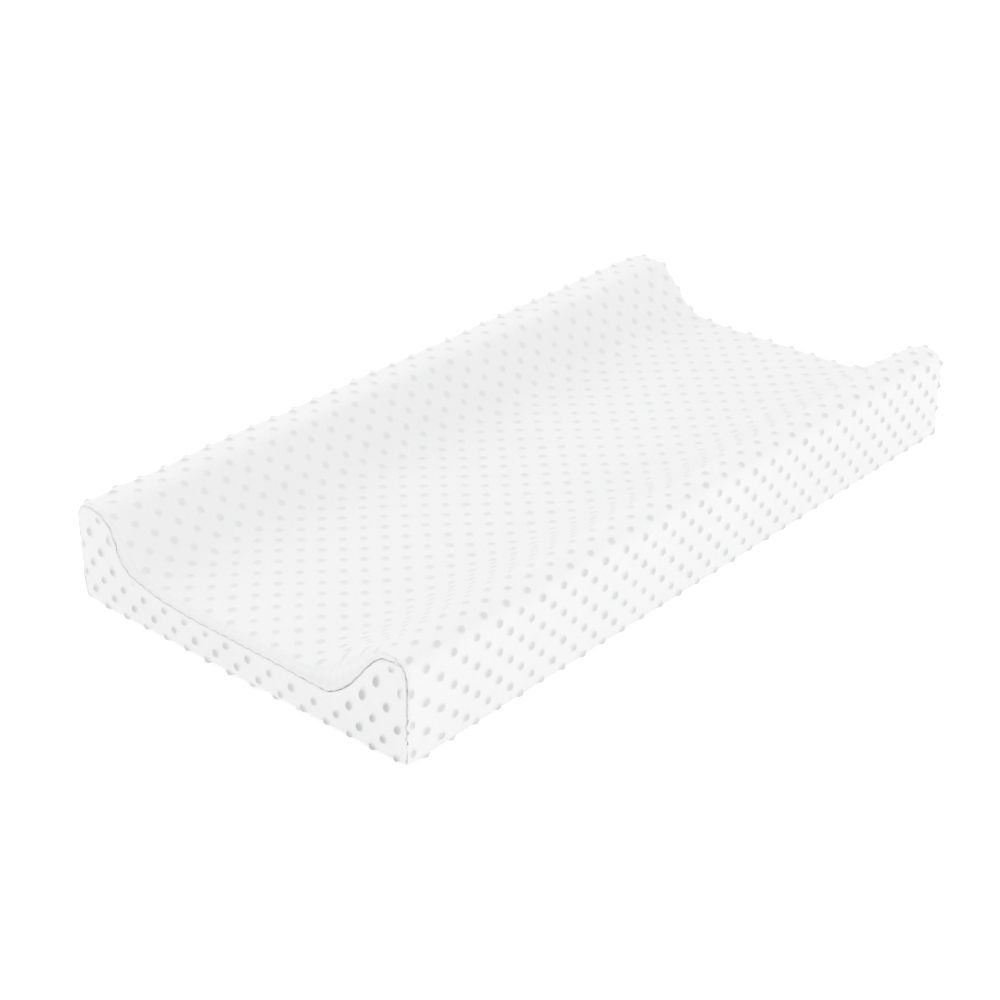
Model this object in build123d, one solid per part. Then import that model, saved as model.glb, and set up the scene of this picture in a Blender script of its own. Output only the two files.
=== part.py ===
from build123d import *
from math import atan2, hypot, tan
import os

# Contoured changing pad in a fitted plush cover, in millimetres.
# The origin is the centre of the underside, where the pad stands. +Y runs along the pad,
# with the foot end at -Y, +X is across it and +Z is up.

# inner pad, measured over its wipe-clean liner
pad_length = 812.8
pad_width = 406.4
side_height = 101.6
centre_height = 50.8
crest_width = 33.2              # flat top of a bolster, from the side of the pad inwards
slope_run = 48.0                # width of the slope between the crest and the well
well_blend_radius = 40.0
crest_radius = 14.0
shoulder_radius = 9.0
lower_edge_radius = 9.0
liner_thickness = 0.9
base_thickness = 1.2
base_seam_rise = 2.0            # how far above the rounded lower edge the base sheet ends
glue_setback = 2.0              # from the start of the well's blend to the glued joint in the foam

# plush cover
plush_thickness = 2.2
cover_gap = 0.4
seam_width = 3.0
seam_rise = 1.0
seam_proud = 0.6
stitch_inset = 1.0
stitch_width = 0.6
stitch_proud = 0.4

# hem of the cover, turned under the pad
hem_edge_radius = 11.5
hem_turn_under = 55.0
hem_floor_gap = 0.5
hem_corner_radius = 30.0
casing_width = 12.0
casing_height = 3.1
elastic_width = 8.0
elastic_thickness = 0.9
elastic_clearance_side = 0.5
elastic_clearance_top = 0.2
hem_stitch_height = 0.3

# underside of the pad: a standing face, with a recessed margin that takes the hem
hem_margin = 3.0
hem_headroom = 1.4

# zip down the middle of the base sheet
zip_end_margin = 60.0
zip_recess = 3.6
zip_channel_width = 40.0
zip_slot_width = 12.0
zip_tail = 12.0
tape_width = 14.0
tape_thickness = 0.6
coil_width = 2.4
coil_height = 1.8
coil_split = 0.1
groove_clearance = 0.5

slider_length = 11.0
slider_width = 9.0
slider_plate = 1.2
slider_clearance = 0.3
slider_flange = 0.9
slider_post_width = 1.2
slider_post_length = 2.4
coil_in_slider = 7.0
bridge_width = 1.6
bridge_length = 8.0
bridge_bar = 0.6
bridge_opening = 1.8
bridge_foot = 1.4

pull_length = 22.0
pull_width = 7.0
pull_thickness = 1.0
pull_slot_clearance = 0.4
pull_corner_radius = 2.0
stop_length = 2.5
stop_width = 1.8
stop_overhang = 0.2
stop_gap = 0.3

# sizes that follow from the ones above
half_width = pad_width / 2
half_length = pad_length / 2
crest_x = half_width - crest_width
well_x = crest_x - slope_run
slope_angle = atan2(side_height - centre_height, slope_run)

cover_outer = cover_gap + plush_thickness
cover_half_width = half_width + cover_outer
cover_half_length = half_length + cover_outer
hem_top = hem_floor_gap + hem_edge_radius
window_x = cover_half_width - hem_turn_under
window_y = cover_half_length - hem_turn_under

base_recess = hem_floor_gap + casing_height + hem_headroom
standing_x = window_x - hem_margin
standing_y = window_y - hem_margin
base_seam = base_recess + lower_edge_radius + base_seam_rise

zip_half_length = standing_y - zip_end_margin
channel_half_length = zip_half_length + slider_length + 2 * zip_tail
tape_bottom = zip_recess + base_thickness
tape_middle = tape_bottom + tape_thickness / 2
coil_bottom = tape_middle - coil_height / 2
coil_top = tape_middle + coil_height / 2
tape_inner_x = coil_split / 2 + coil_width
slider_y = zip_half_length - coil_in_slider + slider_length / 2
slider_front = slider_y + slider_length / 2
slider_outer_z = coil_bottom - slider_clearance - slider_plate
slider_inner_z = coil_top + slider_clearance
bridge_z = slider_outer_z - bridge_opening / 2
bridge_reach = hypot(bridge_length / 2, bridge_opening / 2 + bridge_bar)
pull_slot_length = bridge_reach + 2 * pull_slot_clearance
tall = 4 * side_height


def block(x0, x1, y0, y1, z0, z1):
    corner = (min(x0, x1), min(y0, y1), min(z0, z1))
    solid = Box(abs(x1 - x0), abs(y1 - y0), abs(z1 - z0), align=(Align.MIN, Align.MIN, Align.MIN))
    return Pos(*corner) * solid


# Closed end-on section of the pad, grown outwards by `grow`, with its flat bottom at `bottom`.
def section(grow, bottom):
    lean = grow * tan(slope_angle / 2)
    right = [
        (well_x - lean, centre_height + grow),
        (crest_x - lean, side_height + grow),
        (half_width + grow, side_height + grow),
        (half_width + grow, bottom),
    ]
    left = [(-x, z) for x, z in reversed(right)]
    rounds = [well_blend_radius - grow, crest_radius + grow, shoulder_radius + grow]
    top = FilletPolyline(*left, *right, radius=rounds[::-1] + rounds)
    floor = Line(right[-1], left[0])
    return make_face([*top.edges(), floor.edge()])


# A section pushed along the pad from y0 to y1.
def along_pad(face, y0, y1):
    return Pos(0, y1, 0) * (Rot(90, 0, 0) * extrude(face, y1 - y0))


# A band that follows the section between two amounts of growth, open at the bottom.
def band(inner_grow, outer_grow, bottom, y0, y1):
    outer = along_pad(section(outer_grow, bottom), y0, y1)
    inner = along_pad(section(inner_grow, bottom - 1), y0 - 1, y1 + 1)
    return outer - inner


# Everything above the pad's underside: rounded lower edges, the recessed margin for the hem,
# the standing face in the middle and the channel for the zip, each set in by its sheet.
def above_underside(side_inset, base_inset, top):
    x = half_width - side_inset
    y = half_length - side_inset
    margin = block(-x, x, -y, y, base_recess + base_inset, top)
    lower_edges = margin.edges().group_by(Axis.Z)[0]
    margin = fillet(lower_edges, lower_edge_radius - side_inset)
    sx = standing_x - side_inset
    sy = standing_y - side_inset
    corner = hem_corner_radius - hem_margin - side_inset
    standing_height = base_recess + lower_edge_radius
    standing = Pos(0, 0, base_inset) * extrude(RectangleRounded(2 * sx, 2 * sy, corner), standing_height)
    cx = zip_channel_width / 2 + base_inset
    cy = channel_half_length + base_inset
    channel = block(-cx, cx, -cy, cy, -1, zip_recess + base_inset)
    return margin + standing - channel


# A flat ring with rounded corners, between two half sizes.
def ring(x_out, y_out, x_in, y_in, corner, z0, z1):
    spread = x_out - x_in
    outer = RectangleRounded(2 * x_out, 2 * y_out, corner + spread)
    inner = RectangleRounded(2 * x_in, 2 * y_in, corner)
    return Pos(0, 0, z0) * extrude(outer - inner, z1 - z0)


def foam_core():
    whole = along_pad(section(-liner_thickness, -1), liner_thickness - half_length, half_length - liner_thickness)
    whole &= above_underside(liner_thickness, base_thickness, tall)
    gx = tape_inner_x + tape_width + groove_clearance
    gy = zip_half_length + slider_length + zip_tail + groove_clearance
    whole -= block(-gx, gx, -gy, gy, -1, slider_inner_z + slider_plate + groove_clearance)
    blend_run = (well_blend_radius + liner_thickness) * tan(slope_angle / 2)
    joint_x = well_x - blend_run - glue_setback
    middle = block(-joint_x, joint_x, -half_length, half_length, -1, tall)
    right = block(joint_x, half_width, -half_length, half_length, -1, tall)
    left = block(-half_width, -joint_x, -half_length, half_length, -1, tall)
    return {
        "foam_centre": whole & middle,
        "foam_bolster_right": whole & right,
        "foam_bolster_left": whole & left,
    }


def liner():
    end = half_length - liner_thickness
    plate = section(0, base_seam)
    sheet = above_underside(0, 0, base_seam) - above_underside(liner_thickness, base_thickness, tall)
    slot = zip_slot_width / 2
    sheet -= block(-slot, slot, -channel_half_length, channel_half_length, -1, base_seam + 1)
    left = block(-pad_width, 0, -pad_length, pad_length, -1, tall)
    right = block(0, pad_width, -pad_length, pad_length, -1, tall)
    return {
        "liner_top": band(-liner_thickness, 0, base_seam, -end, end),
        "liner_foot_end": along_pad(plate, -half_length, -end),
        "liner_head_end": along_pad(plate, end, half_length),
        "liner_base_left": sheet & left,
        "liner_base_right": sheet & right,
    }


def zip_rows():
    rows = {}
    tape_end = zip_half_length + slider_length + zip_tail
    coil_inner_x = coil_split / 2
    for side, sign in (("left", -1), ("right", 1)):
        x_in = sign * tape_inner_x
        x_out = sign * (tape_inner_x + tape_width)
        rows["zip_tape_" + side] = block(
            x_in, x_out, -tape_end, tape_end, tape_bottom, tape_bottom + tape_thickness
        )
        rows["zip_coil_" + side] = block(
            sign * coil_inner_x, x_in, -zip_half_length, zip_half_length, coil_bottom, coil_top
        )
    return rows


# Two stops grip the tapes in front of the closed slider, and one holds both rows at the foot end.
def zip_stops():
    low = coil_bottom - stop_overhang
    high = coil_top + stop_overhang
    front = slider_front + stop_gap
    edge = tape_inner_x
    stops = [
        block(edge - stop_width, edge, front, front + stop_length, low, high),
        block(-edge, stop_width - edge, front, front + stop_length, low, high),
        block(-edge, edge, -zip_half_length - stop_length, -zip_half_length, low, high),
    ]
    return Compound(children=stops)


def zip_slider():
    x = slider_width / 2
    y0 = slider_y - slider_length / 2
    y1 = slider_front
    outer_top = slider_outer_z + slider_plate
    inner_top = slider_inner_z + slider_plate
    plates = block(-x, x, y0, y1, slider_outer_z, outer_top)
    plates += block(-x, x, y0, y1, slider_inner_z, inner_top)
    upright = plates.edges().filter_by(Axis.Z)
    body = fillet(upright, slider_flange)
    post_y = zip_half_length + slider_clearance
    px = slider_post_width / 2
    body += block(-px, px, post_y, post_y + slider_post_length, slider_outer_z, inner_top)
    lip = (coil_height - tape_thickness) / 2
    for sign in (-1, 1):
        lip_in = sign * (x - slider_flange)
        lip_out = sign * x
        body += block(lip_in, lip_out, y0 + 1, y1 - 1, slider_outer_z, outer_top + lip)
        body += block(lip_in, lip_out, y0 + 1, y1 - 1, slider_inner_z - lip, inner_top)
    bx = bridge_width / 2
    by0 = slider_y - bridge_length / 2
    by1 = slider_y + bridge_length / 2
    bottom = slider_outer_z - bridge_opening - bridge_bar
    arch = block(-bx, bx, by0, by1, bottom, slider_outer_z)
    arch -= block(-bx - 1, bx + 1, by0 + bridge_foot, by1 - bridge_foot, bottom + bridge_bar, slider_outer_z)
    return body + arch


# The pull lies back along the closed rows. Its round end bar sits in the slider's bridge.
def zip_pull():
    x = pull_width / 2
    z0 = bridge_z - pull_thickness / 2
    tab = RectangleRounded(pull_width, pull_length, pull_corner_radius)
    tab_y = slider_y - pull_length / 2
    plate = Pos(0, tab_y, z0) * extrude(tab, pull_thickness)
    plate -= block(-x, x, slider_y - pull_thickness, slider_y + pull_thickness, z0, z0 + pull_thickness)
    slot_x = bridge_width / 2 + pull_slot_clearance
    slot_y = slider_y - pull_slot_length
    arm_y = slider_y - pull_thickness
    bar = Pos(0, slider_y, bridge_z) * Rot(0, 90, 0) * Cylinder(pull_thickness / 2, pull_width)
    arms = block(-x, x, arm_y, slider_y, z0, z0 + pull_thickness)
    opening = block(-slot_x, slot_x, slot_y, slider_y, z0 - 1, z0 + pull_thickness + 1)
    return plate + arms - opening + bar


def cover_panels():
    inner_end = half_length + cover_gap
    main_end = cover_half_length - seam_width
    ridge_end = cover_half_length + seam_proud
    stitch_end = cover_half_length + stitch_proud
    ridge = cover_outer + seam_rise
    stitch_out = cover_gap - stitch_inset
    stitch_in = stitch_out - stitch_width
    panel = section(cover_gap, hem_top)
    parts = {"cover_main_panel": band(cover_gap, cover_outer, hem_top, -main_end, main_end)}
    parts["cover_foot_panel"] = along_pad(panel, -cover_half_length, -inner_end)
    parts["cover_head_panel"] = along_pad(panel, inner_end, cover_half_length)
    parts["cover_foot_seam"] = band(cover_gap, ridge, hem_top, -ridge_end, -main_end)
    parts["cover_head_seam"] = band(cover_gap, ridge, hem_top, main_end, ridge_end)
    parts["cover_foot_stitches"] = band(
        stitch_in, stitch_out, hem_top, -stitch_end, -cover_half_length
    )
    parts["cover_head_stitches"] = band(
        stitch_in, stitch_out, hem_top, cover_half_length, stitch_end
    )
    return parts


# The cover's lower edge curves under the pad and ends in a casing around the elastic.
def cover_hem():
    x = cover_half_width
    y = cover_half_length
    t = plush_thickness
    outside = block(-x, x, -y, y, hem_floor_gap, tall)
    outside = fillet(outside.edges().group_by(Axis.Z)[0], hem_edge_radius)
    inside = block(t - x, x - t, t - y, y - t, hem_floor_gap + t, tall)
    inside = fillet(inside.edges().group_by(Axis.Z)[0], hem_edge_radius - t)
    turned = (outside - inside) & block(-x, x, -y, y, -1, hem_top)
    window = Pos(0, 0, -1) * extrude(RectangleRounded(2 * window_x, 2 * window_y, hem_corner_radius), tall)
    casing_top = hem_floor_gap + casing_height
    casing = ring(
        window_x + casing_width,
        window_y + casing_width,
        window_x,
        window_y,
        hem_corner_radius,
        hem_floor_gap,
        casing_top,
    )
    e = (casing_width - elastic_width) / 2
    c = elastic_clearance_side
    middle = hem_floor_gap + casing_height / 2
    half = elastic_thickness / 2 + elastic_clearance_top
    hollow = ring(
        window_x + casing_width - e + c,
        window_y + casing_width - e + c,
        window_x + e - c,
        window_y + e - c,
        hem_corner_radius + e - c,
        middle - half,
        middle + half,
    )
    elastic = ring(
        window_x + casing_width - e,
        window_y + casing_width - e,
        window_x + e,
        window_y + e,
        hem_corner_radius + e,
        middle - elastic_thickness / 2,
        middle + elastic_thickness / 2,
    )
    stitches = ring(
        window_x + casing_width + stitch_width,
        window_y + casing_width + stitch_width,
        window_x + casing_width,
        window_y + casing_width,
        hem_corner_radius + casing_width,
        hem_floor_gap - hem_stitch_height,
        hem_floor_gap,
    )
    hem = (turned - window) + casing - hollow
    return {"cover_hem": hem, "hem_elastic": elastic, "hem_stitches": stitches}


nodes = {
    **foam_core(),
    **liner(),
    **zip_rows(),
    "zip_stops": zip_stops(),
    "zip_slider": zip_slider(),
    "zip_pull": zip_pull(),
    **cover_panels(),
    **cover_hem(),
}

os.makedirs("parts", exist_ok=True)
for name, shape in nodes.items():
    export_step(shape, "parts/" + name + ".step")
    print(name)
print("zip slider travel", round(2 * zip_half_length - coil_in_slider, 3))
print("pull hinge", round(slider_y, 3), round(bridge_z, 3))
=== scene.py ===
import math
import bpy
import bmesh
import numpy as np
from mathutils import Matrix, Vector
from mathutils.bvhtree import BVHTree


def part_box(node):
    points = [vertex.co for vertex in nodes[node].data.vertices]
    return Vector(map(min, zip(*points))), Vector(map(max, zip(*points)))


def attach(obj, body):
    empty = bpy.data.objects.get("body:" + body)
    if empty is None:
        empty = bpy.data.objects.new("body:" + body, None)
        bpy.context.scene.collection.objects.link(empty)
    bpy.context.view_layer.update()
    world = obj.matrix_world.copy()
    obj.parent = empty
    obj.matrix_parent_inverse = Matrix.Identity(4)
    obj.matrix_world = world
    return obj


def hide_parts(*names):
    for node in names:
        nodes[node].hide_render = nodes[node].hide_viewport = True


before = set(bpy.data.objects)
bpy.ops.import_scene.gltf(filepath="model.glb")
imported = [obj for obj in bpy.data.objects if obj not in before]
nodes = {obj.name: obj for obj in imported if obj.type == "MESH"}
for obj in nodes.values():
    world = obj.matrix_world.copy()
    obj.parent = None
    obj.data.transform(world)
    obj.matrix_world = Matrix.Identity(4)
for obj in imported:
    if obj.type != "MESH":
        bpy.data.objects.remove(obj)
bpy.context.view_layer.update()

print("frame loaded,", len(nodes), "nodes")

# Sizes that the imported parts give.
hemHigh, mainHigh, foamHigh, bolsterHigh, baseHigh, elasticHigh = (
    np.array(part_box(node)[1]) for node in (
        "cover_hem", "cover_main_panel", "foam_centre", "foam_bolster_right", "liner_base_right", "hem_elastic"))
elasticLow = np.array(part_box("hem_elastic")[0])

plush = {
    "halfWidth": hemHigh[0],  # outer face of the ground cloth
    "halfLength": hemHigh[1],
    "crest": mainHigh[2],
    "floor": foamHigh[2] + mainHigh[2] - bolsterHigh[2],
    "slopesAt": (-0.36, -0.20, 0.0, 0.25),  # along the pad, with each inner slope's foot and top
    "rightSlope": ((0.086, 0.1720), (0.084, 0.1715), (0.101, 0.1745), (0.105, 0.176)),
    "leftSlope": ((0.119, 0.171), (0.122, 0.171), (0.118, 0.170), (0.113, 0.1635)),
    "rightBlend": 0.082,
    "leftBlend": 0.042,
    "leftFuller": 0.0045,  # the left bolster stands this much higher
    "fullerSideways": 0.6,  # and this share of it further out
    "crestRadius": 0.020,
    "shoulderRadius": 0.0140,
    "lowerRadius": 0.0125,
    "under": 0.004,  # how far the panels go on under the pad, past the round edge
    "floorGap": 0.0006,
    "soften": 0.003,
    "step": 0.0005,
    "thickness": 0.0018,
    "settled": 0.10,  # the cloth isn't stretched out nearer to the middle than this
}
dots = {
    "pitch": 0.0279,  # from dot to dot in a row, and from a row to the next but one
    "radius": 0.0054,
    "height": 0.0029,
    "acrossStart": 0.0120,
    "alongStart": 0.0190,
    "cells": 10,  # mesh cells from one row to the next
    "wanderAt": (-0.41, -0.34, -0.23, -0.12, 0.02, 0.18, 0.41),
    "wander": (0.0015, 0.0006, -0.0016, -0.0026, 0.0016, 0.0050, 0.0060),
    "sideRow": 0.24915,  # how far out on the flat cloth lies the row that is 79 mm up the side
    "sideRowHeight": 0.0787,
    "sideSlipAt": (-0.40, -0.36, 0.0, 0.40),
    "sideSlip": (-0.018, -0.0094, -0.0054, -0.0014),  # the side's dots lie this far towards the foot
    "slopeCreepAt": (-0.38, -0.20, -0.06, 0.01, 0.08, 0.15, 0.30),
    "slopeCreep": (0.004, 0.005, 0.0036, 0.003, 0.0, -0.005, -0.006),  # dots on the right slope lie this far up it
    "slopeSlip": (-0.002, -0.002, -0.001, -0.001, 0.0014, 0.005, 0.006),
    "topRelief": 0.50,  # height of the dots on the top, as a share of those on the sides
    "topDotToneAndShade": 0.17,  # how far the dots darken on the top, the sides and the foot: partly the pile's tone, partly painted shade, more on the sides and the foot
    "sideDotToneAndShade": 0.36,
    "footDotToneAndShade": 0.44,
    "cornerPull": 0.0060,  # how far the seam draws the side cloth down at a foot corner
    "slopeFlatter": 0.35,  # share of their height that dots lose on the right slope
    "headRelief": 0.9,  # height of the last dots before the head seam
    "headReliefAt": (0.375, 0.400),
    "darkFrom": (0.03, 0.62),  # level at which a dot starts to darken, and is darkest
    "lowest": (0.0010, 0.0040),  # dots fade out between these heights
    "stray": 0.0007,
}
zones = {  # across the flat cloth: a change comes in between two places and goes out again
    "rightSlope": (0.10, 0.135, 0.175, 0.20),
    "longerRoll": (0.085, 0.125, 0.165, 0.195),
    "furtherTurn": (0.100, 0.140, 0.24, 0.29),
    "welt": (0.12, 0.15, 0.20, 0.23),
    "slopeDots": (0.10, 0.14, 0.17, 0.21),
}
seam = {
    "footLine": (  # from the left bottom corner to the right, in mm
        (-206, 14), (-207.5, 92), (-205, 101), (-198, 105.5), (-188, 106.8), (-175, 105), (-163, 97.5), (-156, 82),
        (-152, 66.7), (-139, 54.7), (-119, 49.7), (-97, 45.2), (-55, 42.3), (0, 42.1), (60, 41.7), (92, 40.3),
        (114, 39.7), (128, 47.7), (140, 57.7), (151, 70.7), (162, 85.2), (175, 98.7), (183, 101.9), (198, 102.3),
        (204, 99.7), (206.2, 93.7), (206.2, 76.7), (205.8, 28), (205.4, 14)),
    "headLine": (
        (-204.5, 14), (-206, 90), (-204, 98), (-196, 102.5), (-182, 104), (-168, 102.5), (-156, 94), (-144, 79.7),
        (-130, 62.7), (-117, 53.2), (-97, 51.2), (-60, 49.7), (0, 50.0), (60, 50.2), (97, 51.2), (118, 54.2),
        (131, 61.7), (144, 73.7), (158, 87.7), (170, 96.7), (182, 100.7), (195, 100.2), (202, 96.2),
        (205, 86.7), (205, 14)),
    "footMarks": (  # place on the flat cloth that is sewn to a point (side, height) of the line
        (-0.321, -206, 14), (-0.226, -205, 101), (-0.190, -175, 105), (-0.128, -139, 54.7), (0, 0, 42.1),
        (0.118, 114, 39.7), (0.190, 175, 98.7), (0.226, 204.5, 99), (0.316, 205.4, 14)),
    "headMarks": (
        (-0.321, -204.5, 14), (-0.226, -204, 98), (-0.186, -168, 102.5), (-0.115, -117, 53.2), (0, 0, 50.0),
        (0.115, 118, 52.7), (0.190, 170, 96.7), (0.226, 202, 96.2), (0.319, 205, 14)),
    "sinkWide": 0.055,  # the cloth starts to sink this far before a seam
    "sinkShare": 0.16,
    "welt": 0.0013,  # the seam allowance shows through as a low ridge and crease
    "weltAt": 0.0105,
    "creaseShade": 0.085,  # painted shade where the cloth rolls down to the foot seam
    "pucker": 0.0004,
    "rollExtra": 0.013,  # longer roll of cloth on the right slope at the foot
    "roll": 0.0120,  # length of the roll of cloth that turns down to the seam
    "turn": math.radians(93),  # how far it turns, and how much further at the right of the foot
    "turnMore": math.radians(9),
    "flatFrom": (0.008, 0.022),  # the seam takes hold between these heights
    "mitre": 0.05,  # length of the slanting fold at the corners underneath
    "bare": 0.0125,  # width with no dots beside the seam, and at the head end
    "headBare": 0.0040,
    "lipRadius": 0.0008,
    "depth": 0.0008,  # how deep the lip lies in its groove, more on the right, and more at the head
    "depthRight": 0.0006,
    "depthHead": 0.0010,
    "stitch": 0.0030,
    "threadRadius": 0.00022,
}
slack = {"height": 0.00045, "long": 0.190, "short": 0.083, "fine": 0.067, "slant": 0.31, "shortSlant": 0.17}


def ease(t):
    t = np.clip(t, 0.0, 1.0)
    return t * t * (3 - 2 * t)


def between(value, low, high):
    return ease((value - low) / (high - low))


def inZone(value, name):
    rise, full, fall, end = zones[name]
    return between(value, rise, full) * (1 - between(value, fall, end))


def smoothed(line, kernel):
    edge = len(kernel) // 2
    wide = np.pad(line, ((edge, edge), (0, 0)), mode="reflect", reflect_type="odd")
    return np.stack([np.convolve(wide[:, k], kernel / kernel.sum(), "valid") for k in (0, 1)], 1)


# A line through corner points, rounded at each inner one, as closely spaced points.
def roundedLine(points, radii, step=0.0005):
    out = [np.array(points[0], float)]
    for k in range(1, len(points) - 1):
        before, here, after = (np.array(points[j], float) for j in (k - 1, k, k + 1))
        toBefore = (before - here) / np.linalg.norm(before - here)
        toAfter = (after - here) / np.linalg.norm(after - here)
        opening = math.acos(float(np.clip(toBefore @ toAfter, -1, 1)))
        radius = radii[k - 1]
        start = here + toBefore * radius / math.tan(opening / 2)
        middle = here + (toBefore + toAfter) / np.linalg.norm(toBefore + toAfter) * radius / math.sin(opening / 2)
        stop = here + toAfter * radius / math.tan(opening / 2)
        first = math.atan2(*(start - middle)[::-1])
        turn = (math.atan2(*(stop - middle)[::-1]) - first + math.pi) % (2 * math.pi) - math.pi
        count = max(4, int(radius * abs(turn) / step))
        for angle in first + turn * np.linspace(0, 1, count + 1):
            out.append(middle + radius * np.array([math.cos(angle), math.sin(angle)]))
    out.append(np.array(points[-1], float))
    return np.array(out)


def lengthAlong(line):
    return np.concatenate([[0], np.cumsum(np.linalg.norm(np.diff(line, axis=0), axis=1))])


def evenly(line, step):
    far = lengthAlong(line)
    spots = np.linspace(0, far[-1], int(far[-1] / step) + 1)
    return np.stack([np.interp(spots, far, line[:, k]) for k in range(line.shape[1])], 1)


# Outer face of the cloth seen end on, from the middle over a bolster to under the pad.
def halfSection(slope, blend, fuller=0.0):
    corners = [
        (0, plush["floor"]),
        (slope[0], plush["floor"]),
        (slope[1], plush["crest"] + fuller),
        (plush["halfWidth"] + fuller * plush["fullerSideways"], plush["crest"] + fuller),
        (plush["halfWidth"], plush["floorGap"]),
        (plush["halfWidth"] - plush["lowerRadius"] - plush["under"], plush["floorGap"]),
    ]
    return evenly(roundedLine(corners, [blend, *(plush[key] for key in (
        "crestRadius", "shoulderRadius", "lowerRadius"))]), plush["step"])


# The whole section at one station, with the place on the flat cloth and the normal of each point.
def sectionLine(station):
    right = halfSection(plush["rightSlope"][station], plush["rightBlend"])
    left = halfSection(plush["leftSlope"][station], plush["leftBlend"], plush["leftFuller"])
    whole = np.concatenate([(left * [-1, 1])[:0:-1], right])
    blur = round(plush["soften"] / plush["step"])
    line = smoothed(whole, np.exp(-0.5 * (np.arange(-3 * blur, 3 * blur + 1) / blur) ** 2))
    far = lengthAlong(line)
    far = far - far[np.argmin(np.abs(line[:, 0]))]
    slope = np.gradient(line, far, axis=0)
    slope /= np.linalg.norm(slope, axis=1)[:, None]
    normal = np.stack([-slope[:, 1], slope[:, 0]], 1)
    # Places on the flat cloth: the cloth is as wide everywhere, and one row of dots keeps its height up the side.
    settled, cloth = plush["settled"], far.copy()
    for side in (-1, 1):
        upright = (line[:, 0] * side > 0.9 * plush["halfWidth"]) & (line[:, 1] > 0.02)
        on = upright & (line[:, 1] < plush["crest"] - 0.005)
        order = np.argsort(line[on, 1])
        rowAt = abs(np.interp(dots["sideRowHeight"], line[on, 1][order], far[on][order]))
        out = far * side
        stretched = settled + (out - settled) * (dots["sideRow"] - settled) / (rowAt - settled)
        cloth = np.where(out >= settled, side * np.where(out > rowAt, dots["sideRow"] + out - rowAt, stretched), cloth)
    return {"far": cloth, "line": line, "normal": normal, "reach": min(-cloth[0], cloth[-1])}


# Points and normals of the cloth at places across, with the section changing along the pad.
def sectionAt(sections, across, along):
    stage = np.interp(along, plush["slopesAt"], np.arange(len(sections)))
    point, normal = 0, 0
    for k, section in enumerate(sections):
        share = ease(np.clip(1 - np.abs(stage - k), 0, 1))[..., None]
        onLine, onNormal = (np.stack([np.interp(across, section["far"], section[key][:, j]) for j in (0, 1)], -1)
                            for key in ("line", "normal"))
        point = point + share * onLine
        normal = normal + share * onNormal
    return point, normal / np.linalg.norm(normal, axis=-1)[..., None]


# Mesh helpers.
def newObject(name, verts, loops, counts):
    mesh = bpy.data.meshes.new(name)
    mesh.vertices.add(len(verts))
    mesh.vertices.foreach_set("co", np.asarray(verts, np.float32).ravel())
    mesh.loops.add(len(loops))
    mesh.loops.foreach_set("vertex_index", np.asarray(loops, np.int32))
    mesh.polygons.add(len(counts))
    starts = np.concatenate([[0], np.cumsum(counts)[:-1]])
    mesh.polygons.foreach_set("loop_start", np.asarray(starts, np.int32))
    mesh.update(calc_edges=True)
    mesh.validate()
    mesh.polygons.foreach_set("use_smooth", np.ones(len(mesh.polygons), bool))
    obj = bpy.data.objects.new(name, mesh)
    bpy.context.scene.collection.objects.link(obj)
    return obj


def setMask(obj, name, values):
    layer = obj.data.attributes.new(name, "FLOAT", "POINT")
    layer.data.foreach_set("value", np.asarray(values, np.float32).ravel())


def facing(points):
    normal = np.cross(np.gradient(points, axis=0), np.gradient(points, axis=1))
    return normal / np.maximum(np.linalg.norm(normal, axis=-1), 1e-12)[..., None]


# A closed sheet: a fine outer face, a coarser inner face and a rim that joins them.
def closedSheet(name, outer, inner, skip, masks=None):
    high, wide = outer.shape[:2]
    rows = sorted(set(range(0, high, skip)) | {high - 1})
    cols = sorted(set(range(0, wide, skip)) | {wide - 1})
    fine = np.arange(high * wide).reshape(high, wide)
    coarse = high * wide + np.arange(len(rows) * len(cols)).reshape(len(rows), len(cols))
    verts = np.concatenate([outer.reshape(-1, 3), inner[np.ix_(rows, cols)].reshape(-1, 3)])
    top = np.stack([fine[:-1, :-1], fine[1:, :-1], fine[1:, 1:], fine[:-1, 1:]], -1).reshape(-1, 4)
    low = np.stack([coarse[:-1, :-1], coarse[:-1, 1:], coarse[1:, 1:], coarse[1:, :-1]], -1).reshape(-1, 4)
    loops = [top.ravel(), low.ravel()]
    counts = [4] * (len(top) + len(low))

    def rim(fineLine, coarseLine, marks, flip):
        for k in range(len(marks) - 1):
            ring = list(fineLine[marks[k]:marks[k + 1] + 1]) + [coarseLine[k + 1], coarseLine[k]]
            loops.append(np.array(ring[::-1] if flip else ring))
            counts.append(len(ring))

    rim(fine[0], coarse[0], cols, False)
    rim(fine[-1], coarse[-1], cols, True)
    rim(fine[:, 0], coarse[:, 0], rows, True)
    rim(fine[:, -1], coarse[:, -1], rows, False)
    obj = newObject(name, verts, np.concatenate(loops), np.array(counts))
    for key, values in (masks or {}).items():
        setMask(obj, key, np.concatenate([values.ravel(), np.zeros(len(rows) * len(cols))]))
    return obj


# Joins rings of points into a tube, with capped ends unless it closes on itself.
def tube(rings, loop=False):
    count, around = rings.shape[:2]
    grid = np.arange(count * around).reshape(count, around)
    turned = np.roll(grid, -1, 1)
    quads = np.stack([grid, turned, np.roll(turned, -1, 0), np.roll(grid, -1, 0)], -1)
    quads = (quads if loop else quads[:-1]).reshape(-1, 4)
    loops, counts = [quads.ravel()], [4] * len(quads)
    if not loop:
        loops += [grid[0][::-1], grid[-1]]
        counts += [around, around]
    return rings.reshape(-1, 3), np.concatenate(loops), counts


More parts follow.
